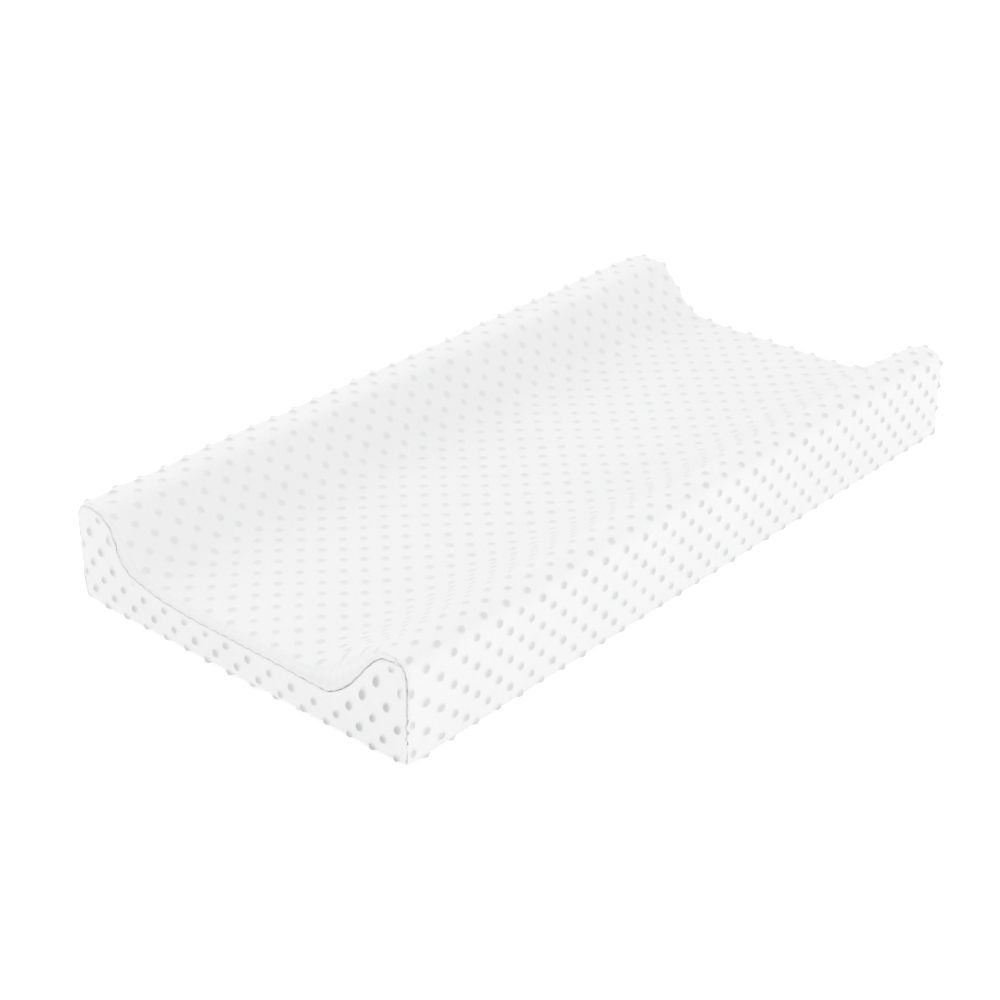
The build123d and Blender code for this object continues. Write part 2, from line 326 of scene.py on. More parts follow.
# Sweeps a closed outline (side, up) along a path.
def sweep(path, outline, up=(0, 0, 1), loop=False):
    path = np.asarray(path, float)
    ahead = np.roll(path, -1, 0) - np.roll(path, 1, 0) if loop else np.gradient(path, axis=0)
    ahead /= np.linalg.norm(ahead, axis=1)[:, None]
    up = np.broadcast_to(np.asarray(up, float), path.shape)
    side = np.cross(ahead, up)
    side /= np.maximum(np.linalg.norm(side, axis=1), 1e-9)[:, None]
    rise = np.cross(side, ahead)
    outline = np.asarray(outline, float)
    rings = path[:, None] + side[:, None] * outline[:, :1] + rise[:, None] * outline[:, 1:]
    return tube(rings, loop)


def joined(name, parts):
    verts, loops, counts, start = [], [], [], 0
    for points, corners, sizes in parts:
        verts.append(points)
        loops.append(np.asarray(corners) + start)
        counts += list(sizes)
        start += len(points)
    return newObject(name, np.concatenate(verts), np.concatenate(loops), np.array(counts))


def oval(halfWide, halfHigh, points=8):
    angle = np.linspace(0, 2 * math.pi, points, endpoint=False)
    return np.stack([halfWide * np.cos(angle), halfHigh * np.sin(angle)], 1)


# Materials.
sockets = {"sheen": "Sheen Weight", "sheenRoughness": "Sheen Roughness", "metal": "Metallic",
           "gloss": "Specular IOR Level"}


def newMaterial(name, colour, roughness, **more):
    material = bpy.data.materials.new(name)
    material.use_nodes = True
    shader = material.node_tree.nodes["Principled BSDF"]
    shader.inputs["Base Color"].default_value = (*colour, 1)
    shader.inputs["Roughness"].default_value = roughness
    for key, value in more.items():
        shader.inputs[sockets[key]].default_value = value
    return material, material.node_tree, shader


def addNode(tree, kind, **values):
    node = tree.nodes.new(kind)
    for key, value in values.items():
        if key in node.inputs:
            node.inputs[key].default_value = value
        else:
            setattr(node, key, value)
    return node


def noiseField(tree, scale, detail=3.0, rough=0.6, stretch=(1, 1, 1)):
    place = addNode(tree, "ShaderNodeTexCoord")
    mapping = addNode(tree, "ShaderNodeMapping", Scale=stretch)
    noise = addNode(tree, "ShaderNodeTexNoise", Scale=scale, Detail=detail, Roughness=rough)
    tree.links.new(place.outputs["Object"], mapping.inputs["Vector"])
    tree.links.new(mapping.outputs[0], noise.inputs["Vector"])
    return noise.outputs["Fac"]


def ramp(tree, source, stops):
    node = addNode(tree, "ShaderNodeValToRGB")
    band = node.color_ramp
    while len(band.elements) < len(stops):
        band.elements.new(0.5)
    for element, (spot, colour) in zip(band.elements, stops):
        element.position = spot
        element.color = (*colour, 1)
    tree.links.new(source, node.inputs["Fac"])
    return node.outputs["Color"]


def mixColour(tree, factor, first, second, mode="MIX"):
    node = addNode(tree, "ShaderNodeMix", data_type="RGBA", blend_type=mode)
    for socket, value in ((0, factor), (6, first), (7, second)):
        if isinstance(value, (int, float)):
            node.inputs[socket].default_value = value
        elif isinstance(value, tuple):
            node.inputs[socket].default_value = (*value, 1)
        else:
            tree.links.new(value, node.inputs[socket])
    return node.outputs[2]


def addBump(tree, shader, source, distance, strength=1.0, under=None):
    bump = addNode(tree, "ShaderNodeBump", Strength=strength, Distance=distance)
    tree.links.new(source, bump.inputs["Height"])
    if under is not None:
        tree.links.new(under, bump.inputs["Normal"])
    tree.links.new(bump.outputs[0], shader.inputs["Normal"])
    return bump.outputs[0]


def plushMaterial():
    material, tree, shader = newMaterial("white dimple plush", (0.89, 0.89, 0.89), 0.92, sheen=0.12, sheenRoughness=0.5)
    mask = addNode(tree, "ShaderNodeAttribute", attribute_name="dot")
    pile = noiseField(tree, 900, 4, 0.65)
    cloud = noiseField(tree, 9, 3, 0.5)
    ground = mixColour(tree, cloud, (0.775, 0.776, 0.781), (0.800, 0.801, 0.806))
    # the dot mask darkens the plush towards this grey: partly the dots' pile tone, partly painted shade
    dotted = mixColour(tree, mask.outputs["Fac"], ground, (0.36, 0.362, 0.367))
    tone = ramp(tree, pile, [(0.3, (0.965, 0.965, 0.965)), (0.7, (1, 1, 1))])
    tree.links.new(mixColour(tree, 1.0, dotted, tone, "MULTIPLY"), shader.inputs["Base Color"])
    coarse = addBump(tree, shader, noiseField(tree, 260, 3, 0.6), 0.0006, 0.45)
    addBump(tree, shader, pile, 0.0004, 0.5, coarse)
    return material


# Thread, nylon or a cut plush edge: two shades in one grain, and the same grain as relief where it has any.
def yarnMaterial(name, colour, roughness, grain, shades, relief=None, **more):
    material, tree, shader = newMaterial(name, colour, roughness, **more)
    fibre = noiseField(tree, *grain)
    tree.links.new(mixColour(tree, fibre, *shades), shader.inputs["Base Color"])
    if relief:
        addBump(tree, shader, fibre, relief, 0.6)
    return material


# A field of cells on the object's own coordinates.
def cellField(tree, scale):
    cells = addNode(tree, "ShaderNodeTexVoronoi", Scale=scale)
    place = addNode(tree, "ShaderNodeTexCoord")
    tree.links.new(place.outputs["Object"], cells.inputs["Vector"])
    return cells.outputs["Distance"]


# Roughness that wanders between two values.
def unevenRoughness(tree, shader, grain, low, high):
    haze = addNode(tree, "ShaderNodeMapRange")
    haze.inputs["To Min"].default_value, haze.inputs["To Max"].default_value = low, high
    tree.links.new(noiseField(tree, *grain), haze.inputs["Value"])
    tree.links.new(haze.outputs[0], shader.inputs["Roughness"])


def vinylMaterial():
    material, tree, shader = newMaterial("white vinyl", (0.87, 0.87, 0.86), 0.42, gloss=0.45)
    cloud = noiseField(tree, 6, 3, 0.5)
    tree.links.new(mixColour(tree, cloud, (0.845, 0.848, 0.845), (0.885, 0.886, 0.882)), shader.inputs["Base Color"])
    unevenRoughness(tree, shader, (40, 3, 0.6), 0.36, 0.5)
    addBump(tree, shader, cellField(tree, 700.0), 0.0003, 0.35)
    return material


def gripMaterial():
    material, tree, shader = newMaterial("non-slip base sheet", (0.80, 0.80, 0.79), 0.62, gloss=0.35)
    cloud = noiseField(tree, 30, 4, 0.6)
    mask = addNode(tree, "ShaderNodeAttribute", attribute_name="grip")
    plain = mixColour(tree, cloud, (0.78, 0.782, 0.775), (0.83, 0.832, 0.825))
    tree.links.new(mixColour(tree, mask.outputs["Fac"], plain, (0.70, 0.705, 0.70)), shader.inputs["Base Color"])
    addBump(tree, shader, noiseField(tree, 1200, 3, 0.6), 0.0002, 0.5)
    return material


def foamMaterial():
    material, tree, shader = newMaterial("cream foam", (0.85, 0.80, 0.66), 0.95)
    cells = cellField(tree, 650.0)
    tint = ramp(tree, cells, [(0.0, (0.70, 0.64, 0.50)), (0.45, (0.87, 0.82, 0.69))])
    tree.links.new(tint, shader.inputs["Base Color"])
    addBump(tree, shader, cells, 0.0008, 0.7)
    return material


def wovenMaterial(name, light, dark, scale, direction):
    material, tree, shader = newMaterial(name, light, 0.8, sheen=0.15)
    place = addNode(tree, "ShaderNodeTexCoord")
    waves = []
    for axis in direction:
        wave = addNode(tree, "ShaderNodeTexWave", wave_type="BANDS", bands_direction=axis, Scale=scale, Distortion=0.4)
        tree.links.new(place.outputs["Object"], wave.inputs["Vector"])
        waves.append(wave.outputs["Fac"])
    both = addNode(tree, "ShaderNodeMath", operation="MULTIPLY")
    tree.links.new(waves[0], both.inputs[0])
    tree.links.new(waves[-1], both.inputs[1])
    tree.links.new(mixColour(tree, both.outputs[0], dark, light), shader.inputs["Base Color"])
    addBump(tree, shader, both.outputs[0], 0.0003, 0.8)
    return material


def metalMaterial():
    material, tree, shader = newMaterial("nickel plated zinc", (0.72, 0.71, 0.69), 0.28, metal=1.0)
    unevenRoughness(tree, shader, (600, 4, 0.6), 0.2, 0.42)
    tree.links.new(mixColour(tree, noiseField(tree, 220, 3, 0.6), (0.66, 0.65, 0.63), (0.78, 0.77, 0.75)),
                   shader.inputs["Base Color"])
    addBump(tree, shader, noiseField(tree, 1500, 2, 0.5, (1, 6, 1)), 0.0001, 0.25)
    return material


plushWhite = plushMaterial()
# painted shade: the seam edge is grey so the groove between the panels reads dark
seamShadeEdge = yarnMaterial("plush seam edge with painted shade", (0.62, 0.62, 0.63), 0.95, (700, 4, 0.6),
                        ((0.64, 0.64, 0.65), (0.80, 0.80, 0.81)), 0.0004, sheen=0.1)
threadWhite = yarnMaterial("white sewing thread", (0.86, 0.86, 0.87), 0.6, (2500, 2, 0.5, (1, 1, 3)),
                           ((0.80, 0.80, 0.81), (0.92, 0.92, 0.93)), 0.0002, sheen=0.2)
vinylWhite = vinylMaterial()
gripSheet = gripMaterial()
foamCream = foamMaterial()
tapeWhite = wovenMaterial("zip tape", (0.84, 0.84, 0.85), (0.66, 0.66, 0.68), 900.0, ("DIAGONAL", "Y"))
elasticWhite = wovenMaterial("braided elastic", (0.86, 0.86, 0.86), (0.62, 0.62, 0.63), 500.0, ("X", "Y"))
coilWhite = yarnMaterial("zip coil nylon", (0.82, 0.82, 0.83), 0.38, (400, 3, 0.5),
                         ((0.78, 0.78, 0.79), (0.86, 0.86, 0.87)), gloss=0.5)
zipMetal = metalMaterial()
print("materials ready")


def finishPiece(obj, material, slot, body, *replaced):
    obj.data.materials.clear()
    obj.data.materials.append(material)
    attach(obj, body)
    if replaced:
        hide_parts(*replaced)
    return obj


# An even scatter from 0 to 1, the same on each run.
def scatter(first, second, salt):
    return np.modf(np.abs(np.sin(first * 12.9898 + second * 78.233 + salt) * 43758.5453))[0]


# Height of the dots, from 0 to 1. Their centres stand at whole and at half steps of both counts.
def dotField(acrossCount, alongCount):
    best = np.zeros(np.broadcast(acrossCount, alongCount).shape)
    for half in (0.0, 0.5):
        first, second = acrossCount - half, alongCount - half
        nearFirst, nearSecond = np.round(first), np.round(second)
        stray = dots["stray"] * (scatter(nearFirst, nearSecond, half) - 0.5)
        sideways = (first - nearFirst) * dots["pitch"] + stray
        lengthways = (second - nearSecond) * dots["pitch"] + 0.6 * stray
        radius = dots["radius"] * (0.93 + 0.14 * scatter(nearFirst, nearSecond, half + 5))
        away = np.hypot(sideways, lengthways) / radius
        level = np.clip(1 - away * away, 0, 1) ** 2 * (0.85 + 0.3 * scatter(nearFirst, nearSecond, half + 7))
        best = np.maximum(best, level)
    return best


# Mesh lines at even steps through a starting place, with one at each edge.
def stations(low, high, step, start):
    first = math.ceil((low - start) / step + 0.3)
    last = math.floor((high - start) / step - 0.3)
    return np.concatenate([[low], start + step * np.arange(first, last + 1), [high]])


# The cover's top panel: well, bolsters and both long sides in one cloth.
# `across` and `along` are places on the flat cloth; `away` is a distance round the section.
coverSections = [sectionLine(k) for k in range(len(plush["slopesAt"]))]
clothReach = min(section["reach"] for section in coverSections)
rollLength = plush["halfLength"] - seam["roll"] + seam["roll"] * seam["turn"]


def turnAt(place, foot):
    return seam["turn"] + seam["turnMore"] * inZone(place, "furtherTurn") * foot


def awayFor(across, along):
    side = np.abs(across)
    wander = np.interp(along, dots["wanderAt"], dots["wander"]) * (1 - between(side, 0.16, 0.20))
    nearFoot = between(-along, plush["halfLength"] - 0.09, plush["halfLength"] - 0.045)
    pull = between(side, 0.225, 0.27) * (1 - between(side, clothReach - 0.03, clothReach))
    away = across + wander + np.sign(across) * dots["cornerPull"] * nearFoot * pull
    return np.clip(away, -clothReach, clothReach)


# The seam's line on the plane of an end, smoothed, with the place on the cloth that each point holds.
def seamLine(corners, marks):
    line = evenly(np.array(corners) / 1000.0, 0.0005)
    line = smoothed(line, np.exp(-0.5 * (np.arange(-24, 25) / 7.0) ** 2))
    far = lengthAlong(line)
    spots = [far[np.argmin(np.hypot(line[:, 0] - x / 1000.0, line[:, 1] - z / 1000.0))] for _, x, z in marks]
    return np.interp(far, spots, [cloth for cloth, _, _ in marks]), line


footLine = seamLine(seam["footLine"], seam["footMarks"])
headLine = seamLine(seam["headLine"], seam["headMarks"])


def seamPoint(away, along):
    foot, head = (np.stack([np.interp(away, places, line[:, k]) for k in (0, 1)], -1)
                  for places, line in (footLine, headLine))
    return np.where(np.asarray(along < 0)[..., None], foot, head)


def slackCloth(away, along):
    wave = np.sin(2 * np.pi * (along / slack["long"] + away / slack["slant"]) + 0.7)
    wave = wave + 0.6 * np.sin(2 * np.pi * (along / slack["short"] - away / slack["shortSlant"]) + 2.1)
    fine = np.sin(2 * np.pi * (away / slack["fine"] + 0.35 * np.sin(along / 0.05)) + 0.4)
    return slack["height"] * (wave + 0.5 * fine)


# The cloth's outer face without its dots.
def coverFace(across, along):
    away = awayFor(across, along)
    point, normal = sectionAt(coverSections, away, along)
    half, far, foot = plush["halfLength"], np.abs(along), along < 0
    rollFrom = half - seam["roll"]
    # the roll at the end: the cloth turns down to the seam, and starts earlier on the right slope at the foot
    turn = turnAt(away, foot)
    angle = np.clip((far - rollFrom) / seam["roll"], 0, seam["turn"]) * turn / seam["turn"]
    longer = seam["rollExtra"] * inZone(away, "longerRoll") * foot * between(far, half - 0.06, rollFrom)
    length = np.minimum(far, rollFrom) - longer + (seam["roll"] + longer) * np.sin(angle)
    share = (1 - np.cos(angle)) / (1 - np.cos(turn))
    early = seam["sinkShare"] * between(far, half - seam["sinkWide"], rollFrom)
    share = share + early * (1 - inZone(away, "rightSlope") * foot) * (1 - share)
    held = between(point[..., 1], *seam["flatFrom"])
    share = share * held
    low = point[..., 1] < plush["lowerRadius"] * 1.6
    mitre = np.where(low, plush["halfWidth"] - np.abs(point[..., 0]), 0)
    length = length - mitre * between(far, half - seam["mitre"], half)
    # slack in the cloth, the low ridge of the seam allowance, and the pucker of its stitches
    calm = (1 - between(far, half - 0.05, half - 0.004)) * between(point[..., 1], 0.004, 0.02)
    toSeam = rollLength - far
    ridge = np.exp(-((toSeam - seam["weltAt"] + 0.004) / 0.003) ** 2)
    ridge = ridge - 1.2 * np.exp(-((toSeam - seam["weltAt"]) / 0.0014) ** 2)
    welt = seam["welt"] * ridge * inZone(away, "welt") * foot
    pucker = seam["pucker"] * np.sin(2 * np.pi * (across / 0.0123 + 0.3 * np.sin(across / 0.019)))
    pucker = pucker * np.exp(-(toSeam - 0.004) ** 2 / 0.00007)
    face = point + normal * (slackCloth(away, along) * calm)[..., None]
    face = face * (1 - share[..., None]) + seamPoint(away, along) * share[..., None]
    out = (welt + pucker) * held
    face = face + normal * (out * np.cos(angle))[..., None]
    length = length + out * np.sin(angle)
    return np.stack([face[..., 0], np.sign(along) * length, face[..., 1]], -1)


# Relief and underside of a plush face; nothing goes below the floor.
def plushFaces(base, normal, relief):
    outer = base + normal * (relief * dots["height"])[..., None]
    outer[..., 2] = np.maximum(outer[..., 2], plush["floorGap"] * 0.5)
    inner = base - normal * plush["thickness"]
    inner[..., 2] = np.maximum(inner[..., 2], plush["floorGap"] + 0.001)
    return outer, inner


def makeTopPanel():
    cell = dots["pitch"] / 2 / dots["cells"]
    across = stations(-clothReach, clothReach, cell, dots["acrossStart"])
    along = stations(-rollLength, rollLength, cell, dots["alongStart"])
    across, along = np.meshgrid(across, along, indexing="ij")
    base = coverFace(across, along)
    normal = facing(base)
    nearEnd = rollLength - np.abs(along)
    bare = np.where(along < 0, seam["bare"], seam["headBare"])
    fade = between(nearEnd, bare * 0.5, bare * 1.1) * between(base[..., 2], *dots["lowest"])
    side = np.abs(across)
    onSlope = inZone(across, "slopeDots")
    slip = np.interp(along, dots["sideSlipAt"], dots["sideSlip"]) * between(side, 0.17, 0.25)
    slip = slip + np.interp(along, dots["slopeCreepAt"], dots["slopeSlip"]) * onSlope
    creep = np.interp(along, dots["slopeCreepAt"], dots["slopeCreep"]) * onSlope
    level = dotField((across - creep - dots["acrossStart"]) / dots["pitch"],
                     (along - slip - dots["alongStart"]) / dots["pitch"])
    aside = between(side, 0.190, 0.235)
    # painted shade: the dots darken more on the sides than on the top
    tone = dots["topDotToneAndShade"] + (dots["sideDotToneAndShade"] - dots["topDotToneAndShade"]) * aside
    atHead = between(along, *dots["headReliefAt"]) * dots["headRelief"]
    relief = np.maximum(dots["topRelief"] + (1 - dots["topRelief"]) * aside, atHead)
    outer, inner = plushFaces(base, normal, level * fade * relief * (1 - dots["slopeFlatter"] * onSlope))
    toSeam = rollLength + along
    # painted shade: a darker band along the roll and the seam allowance's crease at the foot seam
    crease = np.exp(-((toSeam - 0.0035) / 0.0028) ** 2) + 0.6 * np.exp(-((toSeam - seam["weltAt"]) / 0.0018) ** 2)
    crease = seam["creaseShade"] * crease * between(base[..., 2], 0.02, 0.04)
    mask = np.maximum(between(level, *dots["darkFrom"]) * fade * tone, crease)
    panel = closedSheet("top_panel", outer, inner, 5, {"dot": mask})
    print("top panel,", len(panel.data.polygons), "faces")
    return panel


# The end panels, cut to the outline of the pad.
endPanel = {
    "shoulder": 0.222,  # place on the top panel where the seam turns down the corner
    "cell": 0.0014,
    "width": 0.41,
    "height": 0.095,
    "edgeFold": 0.0028,  # width of the edge that dips into the seam
    "puff": 0.0024,  # how far a panel stands out in its middle
    "puffFrom": 0.016,
    "widthShare": 1.08,  # place on the top panel over the side place on an end panel
    "rightEndShade": 0.45,  # painted shade: darker dots on the right bolster's end at the foot
    "rowGap": 0.01395,  # from row to row under the first one
}
footDots = {
    "pitch": 0.0273,
    "start": -0.0379,
    "rowX": (-0.21, -0.04, 0.10, 0.21),  # the rows sink towards the right
    "rowHeight": (0.0372, 0.0367, 0.0242, 0.0237),
    "spacing": (0.0128, 0.0135, 0.0146, 0.0146),
    "growth": (0.0007, 0.0007, 0.0010, 0.0011),
    "lean": (-0.04, 0.0, 0.10, 0.16),  # how far the rows lean outwards as they climb a bolster
}


def easedLine(value, spots, heights):
    table = np.linspace(spots[0], spots[-1], 301)
    kernel = np.hanning(61)
    line = np.convolve(np.pad(np.interp(table, spots, heights), 30, mode="edge"), kernel / kernel.sum(), "valid")
    return np.interp(value, table, line)


# Seam line between the top panel and an end panel, with the place of each point on the top panel.
def endSeam(foot, count=1601):
    across = np.linspace(-clothReach, clothReach, count)
    edge = coverFace(across, np.full(count, -rollLength if foot else rollLength))
    return edge, across


# The round lower edge, unrolled: an end panel goes round it as the sides do.
coverSection = coverSections[2]
lowerTail = coverSection["line"][coverSection["far"] > 0][::-1]
lowerTail = lowerTail[: np.argmax(lowerTail[:, 1] > plush["lowerRadius"] * 1.7)]
lowerInset = plush["halfWidth"] - lowerTail[:, 0]
lowerRise = lengthAlong(lowerTail)


def riseFor(height):
    order = np.maximum.accumulate(lowerTail[:, 1])
    bent = np.interp(height, order, lowerRise)
    return np.where(height > lowerTail[-1, 1], lowerRise[-1] + height - lowerTail[-1, 1], bent)


# Points at shares of the way along a line.
def pointsAt(line, share, key):
    order = (key - key[0]) / (key[-1] - key[0])
    return np.stack([np.interp(share, order, line[:, k]) for k in (0, 1)], -1)


# The flat panel as a grid between its bottom edge and the seam, with the distance to the seam.
def flatEndPanel(edge, away):
    cell = endPanel["cell"] * 1
    flatEdge = np.stack([edge[:, 0], np.zeros(len(edge))], 1)
    tailRise = clothReach - np.abs(away)
    flatEdge[:, 1] = np.where(tailRise < lowerRise[-1], tailRise, riseFor(edge[:, 2]))
    left = flatEdge[away < -endPanel["shoulder"]]
    right = flatEdge[away > endPanel["shoulder"]][::-1]
    top = flatEdge[np.abs(away) <= endPanel["shoulder"]]
    u = np.linspace(0, 1, int(endPanel["width"] / cell) + 1)[:, None]
    v = np.linspace(0, 1, int(endPanel["height"] / cell) + 1)[None, :]
    topLine = pointsAt(top, u, top[:, 0])
    leftLine = pointsAt(left, v, np.maximum.accumulate(left[:, 1]))
    rightLine = pointsAt(right, v, np.maximum.accumulate(right[:, 1]))
    bottom = np.stack([left[0, 0] + (right[0, 0] - left[0, 0]) * u, np.zeros_like(u)], -1)
    flat = ((1 - v)[..., None] * bottom + v[..., None] * topLine
            + (1 - u)[..., None] * leftLine + u[..., None] * rightLine)
    corners = ((1 - u) * (1 - v))[..., None] * bottom[0, 0] + (u * (1 - v))[..., None] * bottom[-1, 0]
    corners = corners + ((1 - u) * v)[..., None] * topLine[0, 0] + (u * v)[..., None] * topLine[-1, 0]
    flat = flat - corners
    sewn = flatEdge[::4]
    near = np.full(flat.shape[:2], 1.0)
    for k in range(0, len(sewn), 40):
        part = sewn[k:k + 41]
        gap = np.hypot(flat[..., None, 0] - part[:, 0], flat[..., None, 1] - part[:, 1]).min(-1)
        near = np.minimum(near, gap)
    return flat[..., 0], flat[..., 1], near


def makeEndPanel(name, foot):
    side, rise, near = flatEndPanel(*endSeam(foot))
    inset = np.interp(rise, lowerRise, lowerInset)
    height = np.where(rise < lowerRise[-1], np.interp(rise, lowerRise, lowerTail[:, 1]),
                      lowerTail[-1, 1] + rise - lowerRise[-1])
    seamInset = seam["roll"] * (1 - np.sin(turnAt(side * endPanel["widthShare"], foot)))
    out = -seamInset + (seamInset + 0.0004) * np.clip(near / endPanel["edgeFold"], 0, 1) ** 0.6
    out = out + endPanel["puff"] * (1 - np.exp(-near / endPanel["puffFrom"])) * between(rise, 0.006, 0.03)
    sign = -1 if foot else 1
    base = np.stack([side, sign * (plush["halfLength"] - inset + out), height], -1)
    normal = facing(base) * -sign

    # rows of dots that follow the outline: level in the middle, wider apart and leaning as they climb a bolster
    rowHeight, spacing, growth, lean = (
        easedLine(side, footDots["rowX"], footDots[key]) for key in ("rowHeight", "spacing", "growth", "lean"))
    lift = rise - riseFor(rowHeight)
    climb = (-spacing + np.sqrt(spacing ** 2 + 4 * growth * np.maximum(lift, 0))) / (2 * growth)
    count = np.where(lift > 0, climb, lift / endPanel["rowGap"])
    place = (side - lean * np.maximum(lift, 0) - footDots["start"]) / footDots["pitch"]
    level = dotField(place, count / 2)
    fade = between(near, 0.0035, 0.0075) * between(height, 0.0010, 0.0035)
    outer, inner = plushFaces(base, normal, level * fade)
    # painted shade: the dots at the right of the foot panel darken further
    rightEndShadeGain = 1 + endPanel["rightEndShade"] * between(side, 0.09, 0.16) * foot
    mask = between(level, *dots["darkFrom"]) * fade * dots["footDotToneAndShade"] * rightEndShadeGain
    panel = closedSheet(name, outer[::-sign], inner[::-sign], 5, {"dot": mask[::-sign]})
    print(name.replace("_", " ") + ",", len(panel.data.polygons), "faces")
    return panel, base, normal


topPanel = makeTopPanel()
footPanel, footBase, footOut = makeEndPanel("foot_panel", True)
headPanel, headBase, headOut = makeEndPanel("head_panel", False)
finishPiece(topPanel, plushWhite, "plush", "cover", "cover_main_panel")
finishPiece(footPanel, plushWhite, "plush", "cover", "cover_foot_panel")
finishPiece(headPanel, plushWhite, "plush", "cover", "cover_head_panel")


# End seams: the folded edges inside the groove, grey with painted shade of the groove, and a row of stitches.
def makeSeam(name, foot):
    edge, away = endSeam(foot)
    keep = np.abs(away) < clothReach - 0.012
    sign = -1 if foot else 1
    outward = sectionAt(coverSections, edge[:, 0] * 0 + away, edge[:, 1])[1]
    deep = seam["depth"] + seam["depthRight"] * between(away, 0.08, 0.14) + (0 if foot else seam["depthHead"])
    sunk = edge - np.stack([outward[:, 0], 0 * edge[:, 0], outward[:, 1]], 1) * deep[:, None]
    sunk[:, 1] -= sign * (deep + 0.0002)
    path = evenly(sunk[keep], 0.002)
    lip = joined(name, [sweep(path, oval(seam["lipRadius"], seam["lipRadius"], 10), up=(0, sign, 0))])
    finishPiece(lip, seamShadeEdge, "plush", "cover", "cover_foot_seam" if foot else "cover_head_seam")
    parts = []
    sunk[:, 1] += sign * 0.0010
    stitchPath = evenly(sunk[keep], seam["stitch"])
    for k in range(len(stitchPath) - 1):
        a, b = stitchPath[k], stitchPath[k + 1]
        ends = a + (b - a) * np.linspace(0.12, 0.88, 6)[:, None]
        ends[:, 1] += sign * (0.0004 + 0.0003 * np.sin(np.linspace(0, math.pi, 6)))
        parts.append(sweep(ends, oval(seam["threadRadius"], seam["threadRadius"], 6), up=(0, sign, 0)))
    row = joined(name + "_stitches", parts)
    finishPiece(row, threadWhite, "thread", "cover", "cover_foot_stitches" if foot else "cover_head_stitches")
    return lip


footSeam = makeSeam("foot_seam", True)
headSeam = makeSeam("head_seam", False)
print("end seams sewn")


# The hem under the pad, its gathers, elastic and stitches.
hem = {
    "turnUnder": 0.055,
    "cornerRadius": 0.030,
    "casing": 0.012,
    "gathers": 150,
    "gatherHeight": 0.0010,
    "thickness": 0.0016,
    "level": 0.0008,
    "sag": 0.0009,
    "lap": 0.002,  # how far the hem goes out over the edge of the panels
    "elastic": (0.004, 0.00035),  # half width and half thickness of the braid
    "stitches": 700,
}


def ringPath(halfX, halfY, radius, count):
    corners = [(halfX, halfY), (-halfX, halfY), (-halfX, -halfY), (halfX, -halfY)]
    line = roundedLine([(halfX, 0)] + corners + [(halfX, 0)], [radius] * 4)
    far = lengthAlong(line)
    spots = np.linspace(0, far[-1], count, endpoint=False)
    return np.stack([np.interp(spots, far, line[:, k]) for k in (0, 1)], 1)


def makeHem():
    count = 1800
    steps = np.linspace(0, 1, 29)
    outsideX = plush["halfWidth"] - plush["lowerRadius"] + hem["lap"]
    outsideY = plush["halfLength"] - plush["lowerRadius"] + hem["lap"]
    insideX, insideY = plush["halfWidth"] - hem["turnUnder"], plush["halfLength"] - hem["turnUnder"]
    outerRing = ringPath(outsideX, outsideY, 0.014, count)
    innerRing = ringPath(insideX, insideY, hem["cornerRadius"] - 0.004, count)
    turn = 2 * math.pi * np.arange(count) / count
    phase = hem["gathers"] * turn + 1.4 * np.sin(23 * turn) + 0.9 * np.sin(41 * turn + 1)
    depth = hem["gatherHeight"] * (0.65 + 0.35 * np.sin(17 * turn + 0.5))
    ring = outerRing[:, None] * (1 - steps)[None, :, None] + innerRing[:, None] * steps[None, :, None]
    gather = between(steps, 0.35, 0.85)[None, :] * depth[:, None]
    middle = hem["level"] + hem["gatherHeight"] + gather * np.sin(phase)[:, None]
    middle = middle + hem["sag"] * between(steps, 0.70, 0.80)[None, :] * (1 - between(steps, 0.93, 1.0))[None, :]
    top = middle + hem["thickness"] / 2
    low = np.maximum(middle - hem["thickness"] / 2, 0.0004)
    lower, upper = (np.concatenate([ring, face[..., None]], -1) for face in (low, top))
    band = joined("cover_hem_band", [tube(np.concatenate([lower[:, ::-1], upper], 1), loop=True)])
    finishPiece(band, plushWhite, "plush", "cover", "cover_hem")
    setMask(band, "dot", np.zeros(len(band.data.vertices)))
    wide, thick = hem["elastic"]
    path = ringPath(elasticHigh[0] - wide, elasticHigh[1] - wide, hem["cornerRadius"] - 0.008, count)
    path = np.concatenate([path, (0.5 * (elasticLow[2] + elasticHigh[2]) + 0.0002 * np.sin(phase))[:, None]], 1)
    outline = [(-wide, -thick), (wide, -thick), (wide, thick), (-wide, thick)]
    elastic = joined("hem_elastic_band", [sweep(path, outline, loop=True)])
    finishPiece(elastic, elasticWhite, "elastic", "cover", "hem_elastic")
    holes = ringPath(insideX + hem["casing"], insideY + hem["casing"], hem["cornerRadius"], 2 * hem["stitches"])
    parts = []
    for a, b in zip(holes[::2], holes[1::2]):
        run = a + (b - a) * np.linspace(0.1, 1.5, 5)[:, None]
        run = np.concatenate([run, np.full((5, 1), 0.00055)], 1)
        parts.append(sweep(run, oval(0.00022, 0.00018, 6)))
    row = joined("hem_stitch_row", parts)
    finishPiece(row, threadWhite, "thread", "cover", "hem_stitches")
    return band, elastic, row


hemBand, hemElastic, hemStitches = makeHem()
print("hem gathered")


# The pad inside: vinyl liner, base sheet, foam.
liner = {
    "gap": 0.0034,  # from the cover's outer face to the liner's
    "thickness": 0.0009,
    "wrinkle": 0.0005,
    "lowEdge": baseHigh[2],
    "endTurn": math.radians(84),  # how far the top sheet turns down at an end
    "endShare": 0.983,  # width of the end pieces over that of the cover's
}
grip = {
    "pitch": 0.009,
    "radius": 0.0016,
    "height": 0.0005,
    "rings": 3,
    "sides": 10,
    "from": 0.026,  # rows of grip dots start here, and stop at the edge of the part that stands
    "toSide": 0.1435,
    "toEnd": 0.346,
    "corner": (0.121, 0.324, 0.021),  # middle and radius of the bare round corner
}


